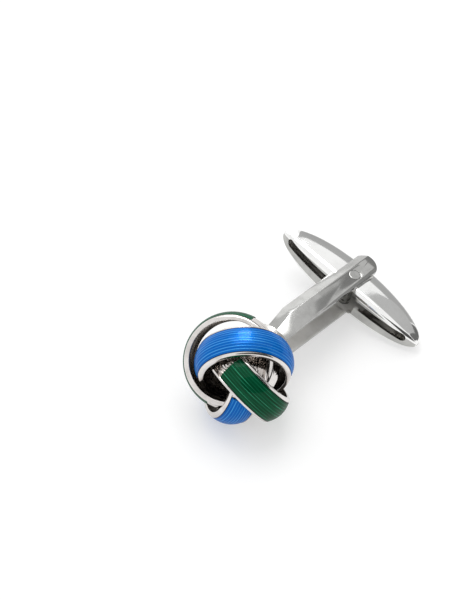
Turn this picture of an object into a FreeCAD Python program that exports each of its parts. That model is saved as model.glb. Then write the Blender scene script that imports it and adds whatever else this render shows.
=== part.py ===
import FreeCAD, Part
import math
import os
import Sketcher

# Knot cufflink, lying on a table as it comes to rest on its knot and its toggle.
# Construction frame: X along the post from the knot's centre to the toggle,
# Y along the toggle bar, towards the post's closed side, Z along the hinge pin.

V = FreeCAD.Vector

SIZES = [
    # Ribbon rings of the knot
    ("ring_radius", 5.39),
    ("ring_width", 3.55),
    ("ring_wall", 0.50),
    ("ring_crown", 0.56),
    ("lean_angle", 44.9),
    ("ring_side", 1.22),
    ("ring_back", 0.44),
    ("knot_angle", 100.4),
    ("rim_width", 0.26),
    ("tray_depth", 0.24),
    ("rib_height", 0.10),
    ("rib_width", 0.16),
    ("enamel_dip", 0.03),
    ("enamel_back_angle", 160.0),
    ("green_end_angle", 16.0),
    ("blue_end_angle", 26.0),
    ("seat_gap", 0.01),
    # Base plate
    ("base_radius", 2.75),
    ("base_thick", 0.70),
    ("base_round", 0.25),
    # Post: a folded channel, forked where the bar crosses it
    ("pin_x", 19.60),
    ("shoulder_x", 9.40),
    ("sheet", 0.45),
    ("post_width", 5.20),
    ("post_open", 1.20),
    ("post_web", 2.10),
    ("bevel_deep", 1.20),
    ("bevel_wide", 0.60),
    ("neck_width", 3.50),
    ("neck_open", 1.00),
    ("neck_web", 1.55),
    ("ear_reach", 3.65),
    ("ear_round", 1.78),
    ("stop_gap", 0.10),
    ("cut_over", 1.00),
    # Hinge pin
    ("pin_radius", 0.70),
    ("pin_flat", 0.56),
    ("pin_flat_long", 2.60),
    ("pin_proud", 0.03),
    ("pin_edge", 0.10),
    ("press_gap", 0.01),
    ("run_gap", 0.04),
    # Toggle bar
    ("bar_half", 10.20),
    ("bar_gap", 0.075),
    ("bar_front", 1.45),
    ("bar_behind", 3.18),
    ("bar_tip", 0.40),
    ("bar_round", 0.80),
    ("bar_wall", 0.40),
    ("slot_width", 1.05),
    ("slot_half", 8.90),
    ("slot_up", 0.40),
    ("mouth_width", 3.30),
    ("mouth_half", 2.10),
    ("mouth_round", 0.90),
    # Spring inside the bar
    ("spring_thick", 0.20),
    ("spring_width", 1.80),
    ("spring_half", 6.00),
    ("spring_gap", 0.02),
    # How the cufflink lies
    ("pitch_angle", 9.35),
    ("roll_angle", 11.89),
]
RIBS = 9
BAR_STATIONS = 5
TIP_TURN = 84.0

doc = FreeCAD.newDocument("cufflink")
sheet = doc.addObject("Spreadsheet::Sheet", "sizes")
for row, (alias, size) in enumerate(SIZES, start=1):
    sheet.set("A%d" % row, alias)
    sheet.set("B%d" % row, str(size))
    sheet.setAlias("B%d" % row, alias)
doc.recompute()


def value(formula):
    """The number that a formula of sheet names gives now."""
    return float(sheet.evalExpression(formula))


def size(alias):
    return float(sheet.get(alias))


# Sketches and features bound to the sheet

def new_sketch(body, name, role, offset=None):
    sketch = body.newObject("Sketcher::SketchObject", name)
    plane = next(f for f in body.Origin.OriginFeatures if f.Role == role)
    sketch.AttachmentSupport = [(plane, "")]
    sketch.MapMode = "FlatFace"
    if offset:
        sketch.setExpression("AttachmentOffset.Base.z", offset)
    return sketch


def bind(sketch, constraint, formula):
    index = sketch.addConstraint(constraint)
    sketch.setExpression("Constraints[%d]" % index, formula)


def outline(body, name, role, corners, arcs=None, offset=None):
    """A closed outline through corners given as formulas; arcs maps a side to (radius, bulge)."""
    arcs = arcs or {}
    sketch = new_sketch(body, name, role, offset)
    spots = [V(value(a), value(b), 0) for a, b in corners]
    ends = []
    for i, start in enumerate(spots):
        stop = spots[(i + 1) % len(spots)]
        if i in arcs:
            radius, bulge = value(arcs[i][0]), arcs[i][1]
            chord = stop - start
            half = chord.Length / 2
            sagitta = radius - math.sqrt(max(radius ** 2 - half ** 2, 0.0))
            side = V(chord.y, -chord.x, 0).normalize() * (bulge * sagitta)
            geo = sketch.addGeometry(Part.Arc(start, start + chord * 0.5 + side, stop))
        else:
            geo = sketch.addGeometry(Part.LineSegment(start, stop))
        flipped = (sketch.getPoint(geo, 1) - start).Length > (sketch.getPoint(geo, 2) - start).Length
        ends.append((geo, 2, 1) if flipped else (geo, 1, 2))
    for i, (geo, first, last) in enumerate(ends):
        following = ends[(i + 1) % len(ends)]
        sketch.addConstraint(Sketcher.Constraint("Coincident", geo, last, following[0], following[1]))
        bind(sketch, Sketcher.Constraint("DistanceX", -1, 1, geo, first, spots[i].x), corners[i][0])
        bind(sketch, Sketcher.Constraint("DistanceY", -1, 1, geo, first, spots[i].y), corners[i][1])
        if i in arcs:
            bind(sketch, Sketcher.Constraint("Radius", geo, value(arcs[i][0])), arcs[i][0])
    return sketch


def disc(body, name, role, x, y, radius, offset=None):
    sketch = new_sketch(body, name, role, offset)
    sketch.addGeometry(Part.Circle(V(value(x), value(y), 0), V(0, 0, 1), value(radius)))
    bind(sketch, Sketcher.Constraint("DistanceX", -1, 1, 0, 3, value(x)), x)
    bind(sketch, Sketcher.Constraint("DistanceY", -1, 1, 0, 3, value(y)), y)
    bind(sketch, Sketcher.Constraint("Radius", 0, value(radius)), radius)
    return sketch


def feature(body, kind, name, sketch, length=None, both_sides=False, backwards=False):
    item = body.newObject("PartDesign::" + kind, name)
    item.Profile = sketch
    if length:
        item.setExpression("Length", length)
    item.Midplane = both_sides
    item.Reversed = backwards
    return item


def revolve(body, name, sketch, axis_role, angle=None):
    item = body.newObject("PartDesign::Revolution", name)
    item.Profile = sketch
    axis = next(f for f in body.Origin.OriginFeatures if f.Role == axis_role)
    item.ReferenceAxis = (axis, [""])
    item.Angle = 360
    if angle:
        item.Midplane = True
        item.setExpression("Angle", angle)
    return item


def new_body(label):
    body = doc.addObject("PartDesign::Body", label)
    body.Label = label
    return body


# Ribbon rings and their enamel, each round its own Z axis

def crown_drop(across):
    """How far the crowned face has fallen at a distance across the ribbon."""
    return "sizes.ring_crown * (2 * (%s) / sizes.ring_width) ^ 2" % across


def face_radius(across, below="0"):
    return "sizes.ring_radius - %s - %s" % (crown_drop(across), below)


def ribbon(label):
    body = new_body(label)
    half = "sizes.ring_width / 2"
    tray = "(sizes.ring_width / 2 - sizes.rim_width)"
    inner = "sizes.ring_radius - sizes.ring_crown - sizes.ring_wall"
    bow = "(sizes.ring_width ^ 2 / 4 + sizes.ring_crown ^ 2) / (2 * sizes.ring_crown)"
    floor = "sizes.tray_depth"
    crest = "(sizes.tray_depth - sizes.rib_height)"
    corners = [(inner, "-" + half), (face_radius(half), "-" + half)]
    corners += [(face_radius(tray), "-" + tray), (face_radius(tray, floor), "-" + tray)]
    for rib in range(RIBS):
        middle = "(2 * %s * %d / %d - %s)" % (tray, rib + 1, RIBS + 1, tray)
        low = middle + " - sizes.rib_width / 2"
        high = middle + " + sizes.rib_width / 2"
        corners += [(face_radius(low, floor), low), (face_radius(middle, crest), middle)]
        corners += [(face_radius(high, floor), high)]
    corners += [(face_radius(tray, floor), tray), (face_radius(tray), tray)]
    corners += [(face_radius(half), half), (inner, half)]
    sketch = outline(body, label + "_section", "XZ_Plane", corners, {len(corners) - 1: (bow, -1)})
    revolve(body, label + "_ring", sketch, "Z_Axis")
    return body


def enamel(label, colour):
    """Fills the tray from behind the knot to where the ribbon dips under its neighbour."""
    body = new_body(label)
    side = "(sizes.ring_width / 2 - sizes.rim_width - sizes.seat_gap)"
    sag = "(%s)" % crown_drop(side)
    top = face_radius(side, "sizes.enamel_dip")
    low = face_radius(side, "(sizes.tray_depth - sizes.rib_height - sizes.seat_gap)")
    bow = "(%s ^ 2 + %s ^ 2) / (2 * %s)" % (side, sag, sag)
    corners = [(low, "-" + side), (top, "-" + side), (top, side), (low, side)]
    sketch = outline(body, label + "_section", "XZ_Plane", corners, {1: (bow, 1), 3: (bow, -1)})
    revolve(body, label + "_fill", sketch, "Z_Axis", "sizes.enamel_back_angle + sizes.%s_end_angle" % colour)
    return body


def ring_place(quarter):
    """Where a ring sits: leaned from the post axis, moved sideways, a quarter turn from the last."""
    turn = math.radians(size("knot_angle") + 90 * quarter)
    lean = math.radians(size("lean_angle"))
    front = V(-1, 0, 0)
    out = V(0, math.cos(turn), math.sin(turn))
    side = front.cross(out)
    axis = front * math.cos(lean) + out * math.sin(lean)
    top = front * math.sin(lean) - out * math.cos(lean)
    across = axis.cross(top)
    spin = FreeCAD.Rotation(top, across, axis, "ZXY")
    centre = front * -size("ring_back") + side * size("ring_side")
    return FreeCAD.Placement(centre, spin)


# Base plate behind the knot, a turned disc on the post axis

BASE_FRONT = ("(sizes.ring_back + (sizes.ring_radius - sizes.ring_crown) * sin(sizes.lean_angle * 1deg)"
              " + sizes.ring_width / 2 * cos(sizes.lean_angle * 1deg) + sizes.seat_gap)")
BASE_REAR = "(%s + sizes.base_thick)" % BASE_FRONT


def base(label):
    body = new_body(label)
    edge = "sizes.base_round"
    corners = [(BASE_FRONT, "0"), (BASE_FRONT, "sizes.base_radius - " + edge),
               (BASE_FRONT + " + " + edge, "sizes.base_radius"), (BASE_REAR, "sizes.base_radius"),
               (BASE_REAR, "0")]
    sketch = outline(body, label + "_section", "XY_Plane", corners, {1: (edge, -1)})
    revolve(body, label + "_disc", sketch, "X_Axis")
    return body


# Post: folded sheet with a web at +Y, open to -Y, where the bar folds in

ARM_INSIDE = "sizes.post_width / 2 - sizes.sheet"


def channel_corners(width, opening, web, deep, wide):
    half = "(%s / 2)" % width
    t = "sizes.sheet"
    outer = [("-" + opening, half), ("%s - %s" % (web, deep), half), (web, "%s - %s" % (half, wide))]
    inner = [("%s - %s" % (web, t), "%s - %s - %s / 2" % (half, wide, t)),
             ("%s - %s - %s / 2" % (web, deep, t), "%s - %s" % (half, t)),
             ("-" + opening, "%s - %s" % (half, t))]
    mirrored = [(y, "-(%s)" % z) for y, z in reversed(outer)]
    back = [(y, "-(%s)" % z) for y, z in reversed(inner)]
    return outer + mirrored + back + inner


def post(label):
    body = new_body(label)
    full = channel_corners("sizes.post_width", "sizes.post_open", "sizes.post_web",
                           "sizes.bevel_deep", "sizes.bevel_wide")
    slim = channel_corners("sizes.neck_width", "sizes.neck_open", "sizes.neck_web",
                           "sizes.bevel_deep", "sizes.bevel_wide")
    foot = outline(body, "neck_foot", "YZ_Plane", slim, offset=BASE_REAR)
    shoulder = outline(body, "neck_shoulder", "YZ_Plane", full, offset="sizes.shoulder_x")
    neck = body.newObject("PartDesign::AdditiveLoft", "neck")
    neck.Profile = foot
    neck.Sections = [shoulder]
    neck.Ruled = True
    arms = outline(body, "arm_section", "YZ_Plane", full, offset="sizes.shoulder_x")
    feature(body, "Pad", "arms", arms, "sizes.pin_x + sizes.ear_reach - sizes.shoulder_x")

    # The web ends where the bar crosses, and its cut edge is the bar's stop.
    opening = [("0", "-(%s)" % ARM_INSIDE), ("sizes.post_web + sizes.cut_over", "-(%s)" % ARM_INSIDE),
               ("sizes.post_web + sizes.cut_over", ARM_INSIDE), ("0", ARM_INSIDE)]
    fork = outline(body, "fork_opening", "YZ_Plane", opening,
                   offset="sizes.pin_x - sizes.bar_front - sizes.stop_gap")
    feature(body, "Pocket", "fork", fork,
            "sizes.bar_front + sizes.stop_gap + sizes.ear_reach + sizes.cut_over", backwards=True)

    # Rounded ends of the arms
    tip = "sizes.pin_x + sizes.ear_reach"
    start = ("sizes.pin_x + sizes.ear_reach - sizes.ear_round"
             " + sqrt(sizes.ear_round ^ 2 - ((sizes.post_web + sizes.post_open) / 2) ^ 2)")
    past = tip + " + sizes.cut_over"
    corners = [(start, "sizes.post_web"), (past, "sizes.post_web"),
               (past, "-sizes.post_open"), (start, "-sizes.post_open")]
    waste = outline(body, "ear_waste", "XY_Plane", corners, {3: ("sizes.ear_round", 1)})
    feature(body, "Pocket", "ear_ends", waste, "sizes.post_width + sizes.cut_over", both_sides=True)
    hole = disc(body, "hinge_hole", "XY_Plane", "sizes.pin_x", "0", "sizes.pin_radius + sizes.press_gap")
    feature(body, "Pocket", "hinge_bore", hole, "sizes.post_width + sizes.cut_over", both_sides=True)
    return body


# Hinge pin across both arms, squared in its middle, where the spring bears on it

def hinge_pin(label):
    body = new_body(label)
    sketch = disc(body, label + "_round", "XY_Plane", "sizes.pin_x", "0", "sizes.pin_radius")
    shank = feature(body, "Pad", label + "_shank", sketch,
                    "sizes.post_width + 2 * sizes.pin_proud", both_sides=True)
    doc.recompute()
    rims = ["Edge%d" % (i + 1) for i, edge in enumerate(shank.Shape.Edges)
            if isinstance(edge.Curve, Part.Circle)]
    ends = body.newObject("PartDesign::Fillet", label + "_ends")
    ends.Base = (shank, rims)
    ends.setExpression("Radius", "sizes.pin_edge")
    near, far = "sizes.pin_flat", "2 * sizes.pin_radius"
    for name, c, n in (("behind", 1, 0), ("left", 0, 1), ("front", -1, 0), ("right", 0, -1)):
        corners = []
        for out, along in ((near, -1), (far, -1), (far, 1), (near, 1)):
            x = "sizes.pin_x + %d * %s - %d * %s" % (c, out, n * along, far)
            y = "%d * %s + %d * %s" % (n, out, c * along, far)
            corners.append((x, y))
        sketch = outline(body, "flat_" + name, "XY_Plane", corners)
        feature(body, "Pocket", "cut_" + name, sketch, "sizes.pin_flat_long", both_sides=True)
    return body


# Toggle bar: a hollow boat-shaped shell with a slot along its knot side

BAR_WIDTH = "(%s - sizes.bar_gap) * 2" % ARM_INSIDE


def bar_rib(body, name, share, inset):
    """A rounded rectangle across the bar at a share of its half length, drawn in by an inset."""
    full = "%.9f" % math.sqrt(1 - share ** 2)
    half_z = "(%s / 2 - %s) * %s" % (BAR_WIDTH, inset, full)
    half_x = "((sizes.bar_front + sizes.bar_behind) / 2 - %s) * %s" % (inset, full)
    bend = "(sizes.bar_round - %s) * %s" % (inset, full)
    middle = ("sizes.pin_x + sizes.bar_tip"
              " + ((sizes.bar_behind - sizes.bar_front) / 2 - sizes.bar_tip) * %s" % full)
    corners = []
    for sx, sz in ((1, 1), (1, -1), (-1, -1), (-1, 1)):
        side = ("%s + %d * (%s)" % (middle, sx, half_x), "%d * (%s - %s)" % (sz, half_z, bend))
        end = ("%s + %d * (%s - %s)" % (middle, sx, half_x, bend), "%d * (%s)" % (sz, half_z))
        corners += [end, side] if sx == sz else [side, end]
    arcs = {side: (bend, -1) for side in (0, 2, 4, 6)}
    return outline(body, name, "XZ_Plane", corners, arcs, "(sizes.bar_half - %s) * %.9f" % (inset, share))


def bar_loft(body, kind, name, inset):
    stations = range(-BAR_STATIONS, BAR_STATIONS + 1)
    shares = [math.sin(math.radians(TIP_TURN * station / BAR_STATIONS)) for station in stations]
    ribs = [bar_rib(body, "%s_rib_%d" % (name, i), share, inset) for i, share in enumerate(shares)]
    hull = body.newObject("PartDesign::" + kind, name)
    hull.Profile = ribs[0]
    hull.Sections = ribs[1:]
    return hull


def shell(label):
    body = new_body(label)
    bar_loft(body, "AdditiveLoft", "bar_outside", "0")
    bar_loft(body, "SubtractiveLoft", "bar_hollow", "sizes.bar_wall")
    for name, half, width, up in (("slot", "sizes.slot_half", "sizes.slot_width", "sizes.slot_up"),
                                  ("mouth", "sizes.mouth_half", "sizes.mouth_width", "0")):
        bend = "sizes.slot_width / 2.01" if name == "slot" else "sizes.mouth_round"
        corners = []
        for sy, sz in ((1, 1), (1, -1), (-1, -1), (-1, 1)):
            along = ("%d * (%s - %s)" % (sy, half, bend), "%s + %d * %s / 2" % (up, sz, width))
            across = ("%d * %s" % (sy, half), "%s + %d * (%s / 2 - %s)" % (up, sz, width, bend))
            corners += [along, across] if sy == sz else [across, along]
        arcs = {side: (bend, -1) for side in (0, 2, 4, 6)}
        cut = outline(body, name + "_outline", "YZ_Plane", corners, arcs,
                      "sizes.pin_x - sizes.bar_front - sizes.cut_over")
        feature(body, "Pocket", name, cut, "sizes.bar_front + sizes.cut_over", backwards=True)
    hole = disc(body, "bar_hole", "XY_Plane", "sizes.pin_x", "0", "sizes.pin_radius + sizes.run_gap")
    feature(body, "Pocket", "bar_bore", hole, "sizes.post_width + sizes.cut_over", both_sides=True)
    return body


def spring(label):
    """A bowed strip in the bar: its middle bears on the pin's flat, its ends on the bar's back."""
    body = new_body(label)
    share = "(sizes.spring_half / (sizes.bar_half - sizes.bar_wall))"
    inside = "(sizes.bar_behind - sizes.bar_wall - sizes.bar_tip) * sqrt(1 - %s ^ 2)" % share
    back = "(sizes.pin_x + sizes.bar_tip + %s - sizes.spring_gap)" % inside
    middle = "(sizes.pin_x + sizes.pin_flat + sizes.spring_gap)"
    rise = "(%s - sizes.spring_thick - %s)" % (back, middle)
    bow = "((sizes.spring_half ^ 2 + %s ^ 2) / (2 * %s))" % (rise, rise)
    corners = [(back + " - sizes.spring_thick", "-sizes.spring_half"), (back, "-sizes.spring_half"),
               (back, "sizes.spring_half"), (back + " - sizes.spring_thick", "sizes.spring_half")]
    sketch = outline(body, label + "_side", "XY_Plane", corners, {1: (bow, -1), 3: (bow, 1)})
    feature(body, "Pad", label + "_strip", sketch, "sizes.spring_width", both_sides=True)
    return body


# Build every piece in the construction frame

pieces = []
for quarter, (colour, number) in enumerate((("green", 1), ("blue", 1), ("green", 2), ("blue", 2))):
    place = ring_place(quarter)
    middle = (size(colour + "_end_angle") - size("enamel_back_angle")) / 2
    turned = FreeCAD.Placement(V(), FreeCAD.Rotation(V(0, 0, 1), middle))
    pieces.append((ribbon("ribbon_%s_%d" % (colour, number)), place))
    pieces.append((enamel("enamel_%s_%d" % (colour, number), colour), place * turned))

still = FreeCAD.Placement()
pieces.append((base("knot_base"), still))
pieces.append((post("post_channel"), still))
pieces.append((hinge_pin("hinge_pin"), still))
pieces.append((shell("toggle_shell"), still))
pieces.append((spring("toggle_spring"), still))
doc.recompute()

# Lay the cufflink down: the post falls towards the toggle, and the bar's -Y end is the low one.
lean = FreeCAD.Rotation(V(0, 1, 0), size("pitch_angle"))
roll = FreeCAD.Rotation(V(1, 0, 0), size("roll_angle"))
lying = FreeCAD.Placement(V(), lean * roll)
for item, place in pieces:
    item.Placement = lying * place
doc.recompute()
bounds = Part.makeCompound([item.Shape for item, _ in pieces]).optimalBoundingBox(False, False)
lift = V(-bounds.Center.x, -bounds.Center.y, -bounds.ZMin)
for item, place in pieces:
    item.Placement = FreeCAD.Placement(lift, FreeCAD.Rotation()) * lying * place
doc.recompute()

# Nothing is written unless every object is sound.
for item in doc.Objects:
    if "Invalid" in item.State or "Error" in item.State:
        raise RuntimeError("%s failed: %s" % (item.Label, item.State))
for item, _ in pieces:
    shape = item.Shape
    if shape.isNull() or not shape.isValid() or len(shape.Solids) != 1:
        raise RuntimeError("%s isn't one sound solid" % item.Label)

os.makedirs("parts", exist_ok=True)
for item, _ in pieces:
    item.Shape.exportStep("parts/%s.step" % item.Label)
    print("%-16s %8.3f mm3" % (item.Label, item.Shape.Volume))
print("overall %.2f x %.2f x %.2f mm" % (bounds.XLength, bounds.YLength, bounds.ZLength))
pivot = pieces[-1][0].Placement.multVec(V(size("pin_x"), 0, 0))
pin_axis = lying.Rotation.multVec(V(0, 0, 1))
seat = pieces[-1][0].Placement.multVec(V(value(BASE_REAR), 0, 0))
post_axis = lying.Rotation.multVec(V(1, 0, 0))
print("hinge at", pivot, "along", pin_axis)
print("cuff seat at", seat, "facing", post_axis)
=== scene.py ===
import math

import bmesh
import bpy
from mathutils import Euler, Matrix, Vector


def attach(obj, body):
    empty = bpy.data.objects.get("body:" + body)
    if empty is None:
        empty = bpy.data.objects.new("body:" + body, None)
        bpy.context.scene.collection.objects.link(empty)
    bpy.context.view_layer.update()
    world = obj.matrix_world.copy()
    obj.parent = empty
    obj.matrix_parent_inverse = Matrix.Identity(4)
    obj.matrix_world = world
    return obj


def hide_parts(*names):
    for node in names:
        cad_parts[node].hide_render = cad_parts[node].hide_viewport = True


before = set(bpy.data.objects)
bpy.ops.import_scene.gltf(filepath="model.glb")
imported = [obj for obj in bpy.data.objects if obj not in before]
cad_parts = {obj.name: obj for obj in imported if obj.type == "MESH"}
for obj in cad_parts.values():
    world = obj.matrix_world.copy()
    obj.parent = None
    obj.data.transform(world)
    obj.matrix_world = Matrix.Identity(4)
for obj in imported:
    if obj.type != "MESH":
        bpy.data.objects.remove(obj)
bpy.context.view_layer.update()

# Lengths of the cufflink are in millimetres, those of the room in metres, and angles in degrees
MM = 0.001

# Knot
RING_RADIUS = 5.39
RING_WIDTH = 3.55
RING_WALL = 0.50
RING_CROWN = 0.56
LEAN_ANGLE = 44.9
RING_SIDE = 1.22
RING_BACK = 0.44
KNOT_ANGLE = 100.4
RIM_WIDTH = 0.26
RIM_ROUND = 0.20
RIM_ROUND_STEPS = 6
RIM_EASE = 0.05
RIM_EASE_STEPS = 3
TRAY_DEPTH = 0.24
RIBS = 9
RIB_HEIGHT = 0.10
RIB_WIDTH = 0.16
ENAMEL_DIP = 0.03
ENAMEL_BACK_ANGLE = 160.0
ENAMEL_END_ANGLE = {"green": 16.0, "blue": 26.0}
ENAMEL_RUN_ANGLE = 2.4
SEAT_GAP = 0.01
RING_STEPS = 160
ENAMEL_STEPS = 130
CROWN_STEPS = 40

# Post and toggle bar
POST_EASE = 0.08
PIN_X = 19.60
BAR_HALF = 10.20
BAR_SIDE = 2.075
BAR_FRONT = 1.45
BAR_BEHIND = 3.18
BAR_TIP = 0.40
BAR_ROUND = 0.80
BAR_FALL = 0.20
BAR_EASE = 0.05
BAR_LEAST_SQUARE = 0.0025
BAR_CUTS = 12
MOUTH_HALF = 2.50

# Meshes: how near two points are one point, and how far faces turn at flat, eased and sharp edges
RING_MERGE = 0.0005
SHEET_MERGE = 0.002
BAR_MERGE = 0.0004
CUT_SNAP = 0.0001
SKIN = 0.03
OUTER_SKIN = 0.06
NORMAL_STEP = 0.02
END_NEAR = 0.001
EASE_STEPS = 2
FLAT_ANGLE = 0.4
EASED_ANGLE = 25.0
SHARP_ANGLE = 30.0
BAR_SHARP_ANGLE = 24.0

# Where painted light and shade begin on the post and bar, and which of the bar's faces are shaded by its
# drawn shape: how far a face looks one way, and how far it lies from the post's middle
WEB_FACING = 0.5
WEB_FROM = 0.5
FLANGE_FROM = 0.8
LIP_FACING = 0.7
OUTER_FACING = 0.9

# How the cufflink lies, and where its knot's centre is
PITCH_ANGLE = 9.35
ROLL_ANGLE = 11.89
KNOT_CENTRE = Vector((-9.4050, 0.0, 6.3708))

# Depth of the plating's marks, and how far from the tray's wall the enamel darkens
SCRATCH_DEPTH = 0.05
PIT_DEPTH = 0.35
WALL_SHADE_FROM = 0.14
WALL_SHADE_TO = 0.02

# Room
FLOOR_HALF = 1.2
FLOOR_DROP = 0.02
FLOOR_GREY = 0.62
FLOOR_ROUGHNESS = 0.9
FLOOR_LIFT = 0.42
ROOM_FILL = 0.75
ROOM_SEEN = 1.0

# Camera at the photograph's viewing angle
CAMERA_AZIMUTH = -49.19
CAMERA_ELEVATION = 48.18
CAMERA_ROLL = -0.26
CAMERA_DISTANCE = 220.1
CAMERA_AIM = Vector((-5.903, 4.695, 11.488))
FOCAL_PIXELS = 2053.3
IMAGE_HEIGHT = 600
SENSOR_HEIGHT = 24.0
CLIP_START = 0.01

TRAY_HALF = RING_WIDTH / 2 - RIM_WIDTH
RIB_PITCH = 2 * TRAY_HALF / (RIBS + 1)
LYING = (Matrix.Rotation(math.radians(PITCH_ANGLE), 4, "Y")
         @ Matrix.Rotation(math.radians(ROLL_ANGLE), 4, "X"))
PLACED = Matrix.Scale(MM, 4) @ Matrix.Translation(KNOT_CENTRE) @ LYING

# Places of a colour mix node's sockets
MIX_SHARE = 0
MIX_FIRST = 6
MIX_SECOND = 7
MIX_RESULT = 2


# Node helpers

def new_group(name, inputs, outputs):
    """A shader node group with named sockets; returns it with its two end nodes."""
    group = bpy.data.node_groups.new(name, "ShaderNodeTree")
    for direction, sockets in (("INPUT", inputs), ("OUTPUT", outputs)):
        for label, kind in sockets:
            group.interface.new_socket(label, in_out=direction, socket_type="NodeSocket" + kind)
    return group, group.nodes.new("NodeGroupInput"), group.nodes.new("NodeGroupOutput")


def join(tree, node, links):
    """Links a node's sockets to others, or sets them to a value."""
    for socket, source in links.items():
        if isinstance(source, bpy.types.NodeSocket):
            tree.links.new(source, node.inputs[socket])
        else:
            node.inputs[socket].default_value = source


def put(tree, kind, links=None, **settings):
    """A new node with its settings and its sockets joined."""
    node = tree.nodes.new("ShaderNode" + kind)
    for label, setting in settings.items():
        setattr(node, label, setting)
    join(tree, node, links or {})
    return node


def maths(tree, operation, first, second=0.0):
    return put(tree, "Math", {0: first, 1: second}, operation=operation).outputs[0]


def ranged(tree, source, low=0.0, high=1.0, to_low=0.0, to_high=1.0):
    """A value eased from one range to another."""
    links = {"Value": source, "From Min": low, "From Max": high, "To Min": to_low, "To Max": to_high}
    return put(tree, "MapRange", links, interpolation_type="SMOOTHSTEP").outputs["Result"]


def mixed(tree, share, first, second, blend="MIX"):
    links = {MIX_SHARE: share, MIX_FIRST: first, MIX_SECOND: second}
    return put(tree, "Mix", links, data_type="RGBA", blend_type=blend).outputs[MIX_RESULT]


def seen_rays(tree):
    """One for rays that see a surface directly, in a reflection or through glass, otherwise nought."""
    rays = put(tree, "LightPath").outputs
    seen = maths(tree, "ADD", rays["Is Camera Ray"], rays["Is Glossy Ray"])
    return maths(tree, "ADD", seen, rays["Is Transmission Ray"])


# Plating marks: cloudy patches, hairlines from polishing and tiny pits

def plating_marks():
    inputs = (("Place", "Vector"), ("Bright", "Color"), ("Dull", "Color"),
              ("Smooth", "Float"), ("Rough", "Float"))
    outputs = (("Colour", "Color"), ("Roughness", "Float"), ("Height", "Float"))
    tree, given, made = new_group("plating_marks", inputs, outputs)
    place = given.outputs["Place"]
    cloud = put(tree, "TexNoise", {"Vector": place, "Scale": 420.0, "Detail": 4.0, "Roughness": 0.6})
    along = put(tree, "Mapping", {"Vector": place, "Rotation": (0.3, 0.9, 0.5), "Scale": (1.0, 14.0, 14.0)})
    hairs = put(tree, "TexNoise", {"Vector": along.outputs[0], "Scale": 900.0, "Detail": 3.0})
    pits = put(tree, "TexVoronoi", {"Vector": place, "Scale": 2600.0}, feature="F1")
    patch = ranged(tree, cloud.outputs[0], low=0.35, high=0.7)
    scratch = ranged(tree, hairs.outputs[0], low=0.58, high=0.72)
    pit = ranged(tree, pits.outputs["Distance"], low=0.04, high=0.16)
    spread = put(tree, "MapRange", {"Value": patch, "To Min": given.outputs["Smooth"],
                                    "To Max": given.outputs["Rough"]}).outputs[0]
    worn = maths(tree, "MULTIPLY", scratch, SCRATCH_DEPTH)
    dents = maths(tree, "MULTIPLY", pit, PIT_DEPTH)
    join(tree, made, {"Colour": mixed(tree, patch, given.outputs["Bright"], given.outputs["Dull"]),
                      "Roughness": maths(tree, "ADD", spread, worn),
                      "Height": maths(tree, "SUBTRACT", dents, worn)})
    return tree


# Rib lines: the ribbed floor of the tray, seen through the enamel as lines round the ring, with painted
# glints running along some of the lines

def rib_lines():
    inputs = (("Place", "Vector"), ("Ground", "Color"), ("Deep", "Color"), ("Line", "Color"),
              ("Line width", "Float"), ("Glint from", "Float"))
    outputs = (("Colour", "Color"), ("Roughness", "Float"), ("Height", "Float"))
    tree, given, made = new_group("rib_lines", inputs, outputs)
    place = given.outputs["Place"]
    across = put(tree, "SeparateXYZ", {0: place}).outputs["Z"]
    phase = maths(tree, "DIVIDE", maths(tree, "ADD", across, TRAY_HALF), RIB_PITCH)
    off_rib = maths(tree, "PINGPONG", phase, 0.5)
    crest = ranged(tree, off_rib, high=given.outputs["Line width"], to_low=1.0, to_high=0.0)
    slow = put(tree, "Mapping", {"Vector": place, "Scale": (0.16, 0.16, 2.6)})
    glint_noise = put(tree, "TexNoise", {"Vector": slow.outputs[0], "Scale": 1.0, "Detail": 2.0})
    fine = put(tree, "Mapping", {"Vector": place, "Scale": (0.35, 0.35, 11.0)})
    streak = put(tree, "TexNoise", {"Vector": fine.outputs[0], "Scale": 1.0, "Detail": 3.0})
    # Painted glints: slow noise lights stretches of the rib lines, standing in for light caught along the
    # ribs
    painted_glint = ranged(tree, glint_noise.outputs[0], low=given.outputs["Glint from"], high=0.68, to_low=0.12)
    depth = ranged(tree, streak.outputs[0], low=0.32, high=0.66)
    ground = mixed(tree, depth, given.outputs["Ground"], given.outputs["Deep"])
    tinted = mixed(tree, maths(tree, "MULTIPLY", crest, painted_glint), ground, given.outputs["Line"])
    # Darker towards the tray's walls: partly the deeper enamel there, partly painted shade in the crease
    # where it meets the rim
    wall = ranged(tree, maths(tree, "ABSOLUTE", across), low=TRAY_HALF - WALL_SHADE_FROM,
                  high=TRAY_HALF - WALL_SHADE_TO, to_low=1.0, to_high=0.12)
    join(tree, made, {"Colour": mixed(tree, 1.0, tinted, wall, "MULTIPLY"),
                      "Roughness": ranged(tree, depth, to_low=0.24, to_high=0.36),
                      "Height": crest})
    return tree


MARKS = plating_marks()
LINES = rib_lines()


# Finishes

def new_finish(name):
    material = bpy.data.materials.new(name)
    material.use_nodes = True
    return material, material.node_tree, material.node_tree.nodes["Principled BSDF"]


def plating(name, bright, dull, smooth, rough, height=0.000004, metal=1.0):
    """A plated metal with cloudy patches and polishing hairlines."""
    material, tree, shader = new_finish(name)
    marks = put(tree, "Group", {"Place": put(tree, "TexCoord").outputs["Object"], "Bright": (*bright, 1),
                                "Dull": (*dull, 1), "Smooth": smooth, "Rough": rough}, node_tree=MARKS)
    relief = put(tree, "Bump", {"Height": marks.outputs["Height"], "Strength": 0.35, "Distance": height})
    join(tree, shader, {"Metallic": metal, "Base Color": marks.outputs["Colour"],
                        "Roughness": marks.outputs["Roughness"], "Normal": relief.outputs[0]})
    return material


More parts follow.
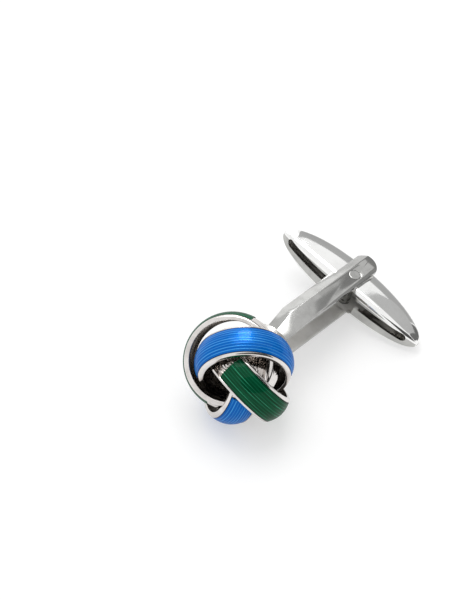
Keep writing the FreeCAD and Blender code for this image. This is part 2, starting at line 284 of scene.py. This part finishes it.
def enamel_finish(name, ground, deep, line, width, glint_from):
    """Translucent glass enamel over ribs: coloured metal below, a clear smooth coat on top."""
    material, tree, shader = new_finish(name)
    place = put(tree, "Attribute", attribute_name="ring_place").outputs["Vector"]
    ribs = put(tree, "Group", {"Place": place, "Ground": (*ground, 1), "Deep": (*deep, 1),
                               "Line": (*line, 1), "Line width": width, "Glint from": glint_from}, node_tree=LINES)
    relief = put(tree, "Bump", {"Height": ribs.outputs["Height"], "Strength": 0.3, "Distance": 0.00005})
    join(tree, shader, {"Metallic": 0.25, "Specular IOR Level": 0.0, "Coat Weight": 0.25,
                        "Coat Roughness": 0.03, "Coat IOR": 1.4, "Base Color": ribs.outputs["Colour"],
                        "Roughness": ribs.outputs["Roughness"], "Normal": relief.outputs[0]})
    return material


RIM_PLATING = plating("rim_plating", (0.76, 0.73, 0.71), (0.60, 0.57, 0.55), smooth=0.07, rough=0.14)
# The rings' inner faces: a far darker copy of the plating, painted shade in the knot's hollow
SHADED_INSIDE_PLATING = plating("shaded_inside_plating", (0.24, 0.22, 0.20), (0.07, 0.06, 0.05),
                         smooth=0.20, rough=0.40, height=0.00002)
TOGGLE_PLATING = plating("toggle_plating", (0.90, 0.90, 0.89), (0.84, 0.84, 0.83), smooth=0.05, rough=0.10)
# The lips beside the bar's slot: a darker copy of the bar's plating, painted shade standing in for the shaded
# floor they reflect
SHADED_LIP_PLATING = plating("shaded_lip_plating", (0.50, 0.50, 0.48), (0.38, 0.38, 0.37), smooth=0.14, rough=0.22)
# The post and pin: the bar's plating painted a darker grey, a painted reflection of grey surroundings in the
# post's flanges
POST_GREY_REFLECTION_PLATING = plating("post_grey_reflection_plating", (0.44, 0.44, 0.43), (0.36, 0.36, 0.35), smooth=0.10, rough=0.18)
# The insides of the channel and of the bar's mouth: near-white and mostly unmetallic, painted light standing
# in for bright reflections within the channel
LIT_CHANNEL_PLATING = plating("lit_channel_plating", (0.98, 0.97, 0.95), (0.84, 0.83, 0.80),
                          smooth=0.06, rough=0.14, metal=0.35)
# A darker copy of the plating: painted shade on the knot's core, the inside of the post's web and the bar's
# hidden insides
SHADED_PLATING = plating("shaded_plating", (0.66, 0.65, 0.63), (0.40, 0.39, 0.37), smooth=0.18, rough=0.32)
SPRING_STEEL = plating("spring_steel", (0.72, 0.71, 0.69), (0.58, 0.57, 0.55),
                       smooth=0.16, rough=0.28, metal=0.55)
# The last number of each enamel sets how few of its rib lines carry painted glints
BLUE_ENAMEL = enamel_finish("blue_enamel", ground=(0.001, 0.150, 0.58), deep=(0.001, 0.105, 0.46),
                            line=(0.09, 0.44, 0.90), width=0.24, glint_from=0.28)
GREEN_ENAMEL = enamel_finish("green_enamel", ground=(0.001, 0.085, 0.034), deep=(0.001, 0.045, 0.016),
                             line=(0.05, 0.40, 0.22), width=0.20, glint_from=0.46)


# Piece helpers

def add_object(bm, name, materials):
    """The mesh as an object of the scene, with its materials."""
    mesh = bpy.data.meshes.new(name)
    bm.to_mesh(mesh)
    bm.free()
    piece = bpy.data.objects.new(name, mesh)
    bpy.context.scene.collection.objects.link(piece)
    for material in materials:
        mesh.materials.append(material)
    return piece


def finish_piece(bm, name, materials, node, body, turn=SHARP_ANGLE):
    """The mesh as a smooth piece that stands for a node and moves with a body."""
    piece = add_object(bm, name, materials)
    mesh = piece.data
    mesh.polygons.foreach_set("use_smooth", [True] * len(mesh.polygons))
    mesh.set_sharp_from_angle(angle=math.radians(turn))
    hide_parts(node)
    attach(piece, body)
    return piece


def ring_place(quarter):
    """Where a ring sits: leaned from the post axis, moved sideways, a quarter turn from the last."""
    turn = math.radians(KNOT_ANGLE + 90 * quarter)
    lean = math.radians(LEAN_ANGLE)
    front = Vector((-1, 0, 0))
    out = Vector((0, math.cos(turn), math.sin(turn)))
    axis = front * math.cos(lean) + out * math.sin(lean)
    top = front * math.sin(lean) - out * math.cos(lean)
    turned = Matrix((top, axis.cross(top), axis)).transposed().to_4x4()
    centre = front.cross(out) * RING_SIDE - front * RING_BACK
    return PLACED @ Matrix.Translation(centre) @ turned


def face_radius(across, below=0.0):
    """The radius of a ring's domed face, or of a surface below it, at a distance across the ribbon."""
    return RING_RADIUS - RING_CROWN * (2 * across / RING_WIDTH) ** 2 - below


def section(corners):
    """A flat face through the corners, given as radius and distance across."""
    bm = bmesh.new()
    spots = [bm.verts.new((radius, 0, across)) for radius, across in corners]
    bm.faces.new(spots)
    return bm, spots


def soften(bm, spots, offset, segments):
    bmesh.ops.bevel(bm, geom=spots, offset=offset, offset_type="OFFSET", segments=segments, profile=0.5,
                    affect="VERTICES", clamp_overlap=True, material=-1)


def turn_section(bm, sweep, steps, start=0.0):
    """Turns the section's edge about the ring's axis, closed at its ends unless it is a full turn."""
    full = sweep == 360.0
    bmesh.ops.delete(bm, geom=bm.faces[:], context="FACES_ONLY")
    bmesh.ops.rotate(bm, verts=bm.verts, cent=(0, 0, 0), matrix=Matrix.Rotation(math.radians(start), 3, "Z"))
    bmesh.ops.spin(bm, geom=bm.verts[:] + bm.edges[:], cent=(0, 0, 0), axis=(0, 0, 1), dvec=(0, 0, 0),
                   angle=math.radians(sweep), steps=steps, use_merge=full, use_duplicate=False)
    if not full:
        bmesh.ops.holes_fill(bm, edges=[e for e in bm.edges if e.is_boundary], sides=0)
    bmesh.ops.remove_doubles(bm, verts=bm.verts, dist=RING_MERGE)
    bmesh.ops.recalc_face_normals(bm, faces=bm.faces)


def set_in_knot(bm, quarter):
    """Keeps each point's place in its own ring for the finish, then moves the ring into the knot."""
    layer = bm.verts.layers.float_vector.new("ring_place")
    for vert in bm.verts:
        vert[layer] = vert.co
    bmesh.ops.transform(bm, matrix=ring_place(quarter), verts=bm.verts)


def crossing(side):
    """Even steps across a ribbon from one side to the other."""
    return [side * (2 * step / CROWN_STEPS - 1) for step in range(CROWN_STEPS + 1)]


# Ribbon rings: a plated strip with raised rims, a tray between them and ribs on its floor

def ribbon(name, quarter):
    half = RING_WIDTH / 2
    crest = TRAY_DEPTH - RIB_HEIGHT
    corners = [(face_radius(half, RING_WALL), -half), (face_radius(half), -half),
               (face_radius(TRAY_HALF), -TRAY_HALF), (face_radius(TRAY_HALF, TRAY_DEPTH), -TRAY_HALF)]
    for rib in range(1, RIBS + 1):
        middle = rib * RIB_PITCH - TRAY_HALF
        corners.append((face_radius(middle, TRAY_DEPTH), middle - RIB_WIDTH / 2))
        corners.append((face_radius(middle, crest), middle))
        corners.append((face_radius(middle, TRAY_DEPTH), middle + RIB_WIDTH / 2))
    corners += [(face_radius(TRAY_HALF, TRAY_DEPTH), TRAY_HALF), (face_radius(TRAY_HALF), TRAY_HALF),
                (face_radius(half), half), (face_radius(half, RING_WALL), half)]
    outside = len(corners)
    corners += [(face_radius(across, RING_WALL), across) for across in crossing(-half)[1:-1]]
    bm, spots = section(corners)
    soften(bm, spots[:2] + spots[outside - 2:outside], RIM_ROUND, RIM_ROUND_STEPS)
    soften(bm, [spots[2], spots[outside - 3]], RIM_EASE, RIM_EASE_STEPS)
    turn_section(bm, 360.0, RING_STEPS)
    finishes = [RIM_PLATING, SHADED_INSIDE_PLATING]
    for face in bm.faces:
        middle = face.calc_center_median()
        # Faces on the ring's inner side take the darker plating: painted shade of the knot's hollow
        inside = face_radius(middle.z) - middle.xy.length > RING_WALL - SKIN
        face.material_index = finishes.index(SHADED_INSIDE_PLATING if inside else RIM_PLATING)
    set_in_knot(bm, quarter)
    finish_piece(bm, name + "_plated", finishes, name, "link")


# Enamel: glass that fills each tray to just below the rims, and runs on a little between the ribs

def enamel(name, quarter, material, colour):
    end = ENAMEL_END_ANGLE[colour]
    side = TRAY_HALF - SEAT_GAP
    low = TRAY_DEPTH - RIB_HEIGHT - SEAT_GAP
    corners = [(face_radius(across, ENAMEL_DIP), across) for across in crossing(side)]
    corners += [(face_radius(across, low), across) for across in crossing(-side)]
    bm = section(corners)[0]
    turn_section(bm, ENAMEL_BACK_ANGLE + end, ENAMEL_STEPS, -ENAMEL_BACK_ANGLE)
    for vert in bm.verts:
        if abs(math.atan2(vert.co.y, vert.co.x) - math.radians(end)) < END_NEAR:
            between_ribs = 0.5 - 0.5 * math.cos(2 * math.pi * (vert.co.z + TRAY_HALF) / RIB_PITCH)
            run = Matrix.Rotation(math.radians(ENAMEL_RUN_ANGLE * between_ribs), 3, "Z")
            vert.co = run @ vert.co
    set_in_knot(bm, quarter)
    finish_piece(bm, name + "_glass", [material], name, "link")


for quarter, (colour, number) in enumerate((("green", 1), ("blue", 1), ("green", 2), ("blue", 2))):
    glass = GREEN_ENAMEL if colour == "green" else BLUE_ENAMEL
    ribbon("ribbon_%s_%d" % (colour, number), quarter)
    enamel("enamel_%s_%d" % (colour, number), quarter, glass, colour)


# Post and toggle bar: pressed sheet with its cut edges eased

def eased(node, ease):
    """A node's own shape, in millimetres along the post, with its sharp edges eased."""
    bm = bmesh.new()
    bm.from_mesh(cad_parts[node].data)
    bmesh.ops.transform(bm, matrix=PLACED.inverted(), verts=bm.verts)
    bmesh.ops.remove_doubles(bm, verts=bm.verts, dist=SHEET_MERGE)
    bmesh.ops.dissolve_limit(bm, angle_limit=math.radians(FLAT_ANGLE), verts=bm.verts, edges=bm.edges)
    turn = math.radians(EASED_ANGLE)
    sharp = [e for e in bm.edges if len(e.link_faces) == 2 and e.calc_face_angle() > turn]
    bmesh.ops.bevel(bm, geom=sharp, offset=ease, offset_type="OFFSET", segments=EASE_STEPS, profile=0.5,
                    affect="EDGES", clamp_overlap=True, material=-1)
    return bm


def post():
    """The channel, painted grey as a painted reflection, with painted light on the insides of its two flanges
    and painted shade on the inside of its web.
    """
    bm = eased("post_channel", POST_EASE)
    finishes = [POST_GREY_REFLECTION_PLATING, LIT_CHANNEL_PLATING, SHADED_PLATING]
    for face in bm.faces:
        middle = face.calc_center_median()
        finish = POST_GREY_REFLECTION_PLATING
        # The inside of the web takes the darker copy: painted shade
        if face.normal.y < -WEB_FACING and middle.y > WEB_FROM:
            finish = SHADED_PLATING
        # Inner faces of the flanges take the brightened plating: painted light
        elif face.normal.z * middle.z < -FLANGE_FROM:
            finish = LIT_CHANNEL_PLATING
        face.material_index = finishes.index(finish)
    bmesh.ops.transform(bm, matrix=PLACED, verts=bm.verts)
    finish_piece(bm, "post_plated", finishes, "post_channel", "link")


def bar_taper(along):
    """How much of its full section the bar keeps at a distance from its middle."""
    return math.sqrt(max(1 - (along / BAR_HALF) ** 2, BAR_LEAST_SQUARE))


def bar_fall(spot):
    """The share of its height that the bar keeps as its flat sides fall away towards its back."""
    reach = (spot.x - PIN_X - BAR_TIP) / ((BAR_BEHIND - BAR_TIP) * bar_taper(spot.y))
    return 1 - BAR_FALL * min(max(reach, 0.0), 1.0) ** 2


def bar_depth(spot):
    """How far a point lies outside the bar's outer face: a rounded rectangle that tapers to both ends."""
    full = bar_taper(spot.y)
    bend = BAR_ROUND * full
    middle = PIN_X + BAR_TIP + ((BAR_BEHIND - BAR_FRONT) / 2 - BAR_TIP) * full
    over_x = abs(spot.x - middle) - (BAR_FRONT + BAR_BEHIND) / 2 * full + bend
    over_z = abs(spot.z / bar_fall(spot)) - BAR_SIDE * full + bend
    return math.hypot(max(over_x, 0), max(over_z, 0)) + min(max(over_x, over_z), 0) - bend


def bar_normal(spot):
    """Which way the bar's outer face looks at a point."""
    steps = (Vector((NORMAL_STEP, 0, 0)), Vector((0, NORMAL_STEP, 0)), Vector((0, 0, NORMAL_STEP)))
    return Vector([bar_depth(spot + step) - bar_depth(spot - step) for step in steps]).normalized()


def shade_bar(mesh):
    """Shades the outer face by the shape it was drawn to, so that reflections run evenly along it."""
    back = PLACED.inverted()
    normals = [bar_normal(back @ vert.co) for vert in mesh.vertices]
    turned = LYING.to_3x3()
    shading = [Vector((0, 0, 0))] * len(mesh.loops)
    for face in mesh.polygons:
        middle = back @ face.center
        facing = (turned @ bar_normal(middle)).dot(face.normal)
        outer = abs(bar_depth(middle)) < OUTER_SKIN and facing > OUTER_FACING
        for loop in face.loop_indices if outer else ():
            shading[loop] = turned @ normals[mesh.loops[loop].vertex_index]
    mesh.normals_split_custom_set(shading)


def cut_through(bm, axis, places):
    """Cuts every face of the mesh where it passes one of the places along an axis."""
    for place in places:
        bmesh.ops.bisect_plane(bm, geom=bm.verts[:] + bm.edges[:] + bm.faces[:], dist=CUT_SNAP,
                               plane_co=axis * place, plane_no=axis)


def toggle():
    """The bar, its flat sides falling away a little towards its back, with painted shade on the lips beside
    its slot and on its insides, and painted light inside its mouth.
    """
    bm = eased("toggle_shell", BAR_EASE)
    bmesh.ops.triangulate(bm, faces=bm.faces)
    behind = [PIN_X + BAR_TIP + (BAR_BEHIND - BAR_TIP) * cut / BAR_CUTS for cut in range(1, BAR_CUTS)]
    cut_through(bm, Vector((1, 0, 0)), behind)
    along = [BAR_HALF * (cut / BAR_CUTS - 1) for cut in range(1, 2 * BAR_CUTS)]
    cut_through(bm, Vector((0, 1, 0)), along)
    bmesh.ops.remove_doubles(bm, verts=bm.verts, dist=BAR_MERGE)
    bmesh.ops.recalc_face_normals(bm, faces=bm.faces)
    for vert in bm.verts:
        vert.co.z *= bar_fall(vert.co)
    finishes = [TOGGLE_PLATING, SHADED_LIP_PLATING, SHADED_PLATING, LIT_CHANNEL_PLATING]
    for face in bm.faces:
        face.normal_update()
        middle = face.calc_center_median()
        outward = face.normal.x * (middle.x - PIN_X - (BAR_BEHIND - BAR_FRONT) / 2) + face.normal.z * middle.z
        finish = TOGGLE_PLATING
        if outward < 0:
            # Faces that look inwards: painted light inside the mouth, painted shade elsewhere
            finish = LIT_CHANNEL_PLATING if abs(middle.y) < MOUTH_HALF else SHADED_PLATING
        # Lips that face the knot take the darker copy: painted shade
        elif abs(middle.z) < (BAR_SIDE - BAR_ROUND) * bar_taper(middle.y) and face.normal.x < -LIP_FACING:
            finish = SHADED_LIP_PLATING
        face.material_index = finishes.index(finish)
    bmesh.ops.transform(bm, matrix=PLACED, verts=bm.verts)
    bar = finish_piece(bm, "toggle_plated", finishes, "toggle_shell", "toggle",
                       BAR_SHARP_ANGLE)
    shade_bar(bar.data)


post()
toggle()

# Pieces shown as they are
# The knot's core takes the darker plating as painted shade, and the pin the post's painted grey
PLAIN_PIECES = {"knot_base": SHADED_PLATING, "hinge_pin": POST_GREY_REFLECTION_PLATING, "toggle_spring": SPRING_STEEL}
for node, material in PLAIN_PIECES.items():
    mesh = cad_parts[node].data
    mesh.materials.clear()
    mesh.materials.append(material)


# Floor: white paper that keeps the shadow

def floor():
    bm = bmesh.new()
    bmesh.ops.create_grid(bm, x_segments=1, y_segments=1, size=FLOOR_HALF)
    bmesh.ops.translate(bm, verts=bm.verts, vec=(0, 0, -FLOOR_DROP * MM))
    paper, tree, shader = new_finish("floor_paper")
    join(tree, shader, {"Base Color": (FLOOR_GREY, FLOOR_GREY, FLOOR_GREY, 1), "Roughness": FLOOR_ROUGHNESS,
                        "Emission Color": (1, 1, 1, 1),
                        "Emission Strength": maths(tree, "MULTIPLY", seen_rays(tree), FLOOR_LIFT)})
    piece = add_object(bm, "floor", [paper])


# Cards: grey boards round the table that only the polished metal sees

def card(name, azimuth, elevation, distance, wide, tall, grey):
    bm = bmesh.new()
    bmesh.ops.create_grid(bm, x_segments=1, y_segments=1, size=0.5)
    turned = Euler((math.radians(90 - elevation), 0, math.radians(azimuth)), "XYZ").to_matrix().to_4x4()
    sized = Matrix.Diagonal((wide, tall, 1, 1))
    bmesh.ops.transform(bm, matrix=turned @ Matrix.Translation((0, 0, distance)) @ sized, verts=bm.verts)
    board, tree, shader = new_finish(name + "_board")
    join(tree, shader, {"Base Color": (0, 0, 0, 1), "Emission Color": (grey, grey, grey, 1),
                        "Emission Strength": 1.0})
    piece = add_object(bm, name, [board])
    piece.visible_camera = False
    piece.visible_diffuse = False
    piece.visible_shadow = False


floor()
card("card_camera", azimuth=-20, elevation=38, distance=0.45, wide=0.75, tall=0.36, grey=0.04)
card("card_far", azimuth=100, elevation=8, distance=0.35, wide=0.30, tall=0.25, grey=0.38)
card("card_right", azimuth=60, elevation=12, distance=0.40, wide=0.20, tall=0.25, grey=0.12)
card("card_upper", azimuth=74, elevation=33, distance=0.36, wide=0.16, tall=0.16, grey=0.46)
card("card_bright", azimuth=140, elevation=16, distance=0.40, wide=0.20, tall=0.16, grey=1.5)
card("card_window", azimuth=130, elevation=58, distance=0.42, wide=0.16, tall=0.40, grey=8.0)


# Light: one large soft lamp from the far side, and the room

def lamp(name, azimuth, elevation, distance, size, power):
    light = bpy.data.lights.new(name, "AREA")
    light.shape = "SQUARE"
    light.size = size
    light.energy = power
    spot = bpy.data.objects.new(name, light)
    bpy.context.scene.collection.objects.link(spot)
    spot.rotation_euler = (math.radians(90 - elevation), 0, math.radians(azimuth))
    spot.location = spot.rotation_euler.to_matrix() @ Vector((0, 0, distance))


lamp("lamp_top", azimuth=150, elevation=72, distance=0.55, size=0.40, power=1.0)

world = bpy.data.worlds.new("room")
world.use_nodes = True
bpy.context.scene.world = world
room = world.node_tree
strength = ranged(room, seen_rays(room), to_low=ROOM_FILL, to_high=ROOM_SEEN)
join(room, room.nodes["Background"], {"Color": (1, 1, 1, 1), "Strength": strength})

# Camera
lens = bpy.data.cameras.new("camera")
lens.sensor_fit = "VERTICAL"
lens.sensor_height = SENSOR_HEIGHT
lens.lens = FOCAL_PIXELS / IMAGE_HEIGHT * SENSOR_HEIGHT
lens.clip_start = CLIP_START
camera = bpy.data.objects.new("camera", lens)
bpy.context.scene.collection.objects.link(camera)
camera_turn = (Matrix.Rotation(math.radians(CAMERA_AZIMUTH), 3, "Z")
               @ Matrix.Rotation(math.radians(90 - CAMERA_ELEVATION), 3, "X")
               @ Matrix.Rotation(math.radians(CAMERA_ROLL), 3, "Z"))
camera.rotation_euler = camera_turn.to_euler()
camera.location = (CAMERA_AIM + camera_turn @ Vector((0, 0, CAMERA_DISTANCE))) * MM
bpy.context.scene.camera = camera
bpy.context.scene.view_settings.view_transform = "Standard"
